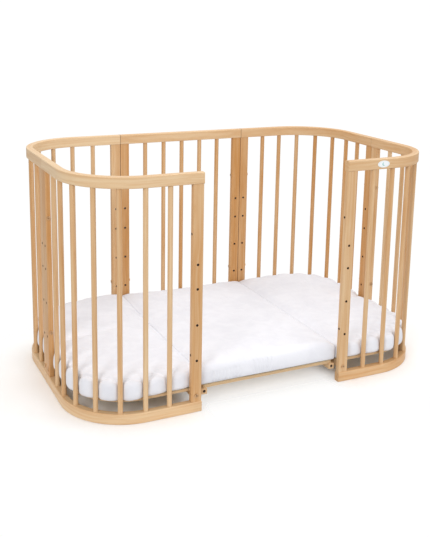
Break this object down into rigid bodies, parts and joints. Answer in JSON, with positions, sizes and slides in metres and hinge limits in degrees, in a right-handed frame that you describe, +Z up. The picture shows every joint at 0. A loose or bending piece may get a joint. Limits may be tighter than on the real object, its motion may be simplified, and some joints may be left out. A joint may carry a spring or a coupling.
{
  "type": "baby crib",
  "caption": "Oval wooden crib with rounded slatted ends, a slatted back, an open front, a height-adjustable base and a three-section mattress.",
  "frame": {"origin": "middle of the footprint on the floor, under the centre of the crib", "axes": "+X along the crib, +Y from the open front to the slatted back, +Z up"},
  "size_m": [1.34, 0.813, 0.79],
  "materials": {
    "beech_rail": "satin clear lacquer",
    "beech_slat": "satin clear lacquer",
    "beech_post": "satin clear lacquer",
    "beech_batten": "planed, clear lacquer",
    "birch_ply": "sanded board, clear lacquer",
    "bronzed_hardware": "antique bronze plating",
    "zinc_hardware": "zinc plated",
    "plate_enamel": "smooth gloss",
    "mattress_cotton": "woven cotton cover over foam"
  },
  "bodies": {
    "root": {"front_left_top_rail": "beech_rail", "front_left_bottom_rail": "beech_rail", "front_left_slats": "beech_slat", "front_left_side_post": "beech_post", "front_left_end_post": "beech_post", "front_right_top_rail": "beech_rail", "front_right_bottom_rail": "beech_rail", "front_right_slats": "beech_slat", "front_right_side_post": "beech_post", "front_right_end_post": "beech_post", "back_left_top_rail": "beech_rail", "back_left_bottom_rail": "beech_rail", "back_left_slats": "beech_slat", "back_left_side_post": "beech_post", "back_left_end_post": "beech_post", "back_right_top_rail": "beech_rail", "back_right_bottom_rail": "beech_rail", "back_right_slats": "beech_slat", "back_right_side_post": "beech_post", "back_right_end_post": "beech_post", "back_panel_top_rail": "beech_rail", "back_panel_bottom_rail": "beech_rail", "back_panel_slats": "beech_slat", "back_panel_left_post": "beech_post", "back_panel_right_post": "beech_post", "left_end_joint_bolts": "bronzed_hardware", "left_end_joint_nuts": "bronzed_hardware", "right_end_joint_bolts": "bronzed_hardware", "right_end_joint_nuts": "bronzed_hardware", "back_left_joint_bolts": "bronzed_hardware", "back_left_joint_nuts": "bronzed_hardware", "back_right_joint_bolts": "bronzed_hardware", "back_right_joint_nuts": "bronzed_hardware", "left_base_bolts": "bronzed_hardware", "right_base_bolts": "bronzed_hardware", "back_base_bolts": "bronzed_hardware", "name_plate": "plate_enamel"},
    "base": {"left_base_board": "birch_ply", "middle_base_board": "birch_ply", "right_base_board": "birch_ply", "left_cross_batten": "beech_batten", "left_end_battens": "beech_batten", "right_cross_batten": "beech_batten", "right_end_battens": "beech_batten", "middle_left_batten": "beech_batten", "middle_right_batten": "beech_batten", "left_base_inserts": "zinc_hardware", "middle_base_inserts": "zinc_hardware", "right_base_inserts": "zinc_hardware", "left_base_screws": "zinc_hardware", "middle_base_screws": "zinc_hardware", "right_base_screws": "zinc_hardware", "front_link_plates": "zinc_hardware", "front_link_screws": "zinc_hardware"},
    "left_mattress": {"left_mattress": "mattress_cotton"},
    "middle_mattress": {"middle_mattress": "mattress_cotton"},
    "right_mattress": {"right_mattress": "mattress_cotton"}
  },
  "joints": [
    {"name": "base_height", "type": "slide", "parent": "root", "child": "base", "axis": [0, 0, 1], "range_m": [0, 0.44]},
    {"name": "left_mattress_lift", "type": "slide", "parent": "base", "child": "left_mattress", "axis": [0, 0, 1], "range_m": [0, 0.76]},
    {"name": "middle_mattress_lift", "type": "slide", "parent": "base", "child": "middle_mattress", "axis": [0, 0, 1], "range_m": [0, 0.76]},
    {"name": "right_mattress_lift", "type": "slide", "parent": "base", "child": "right_mattress", "axis": [0, 0, 1], "range_m": [0, 0.76]}
  ]
}
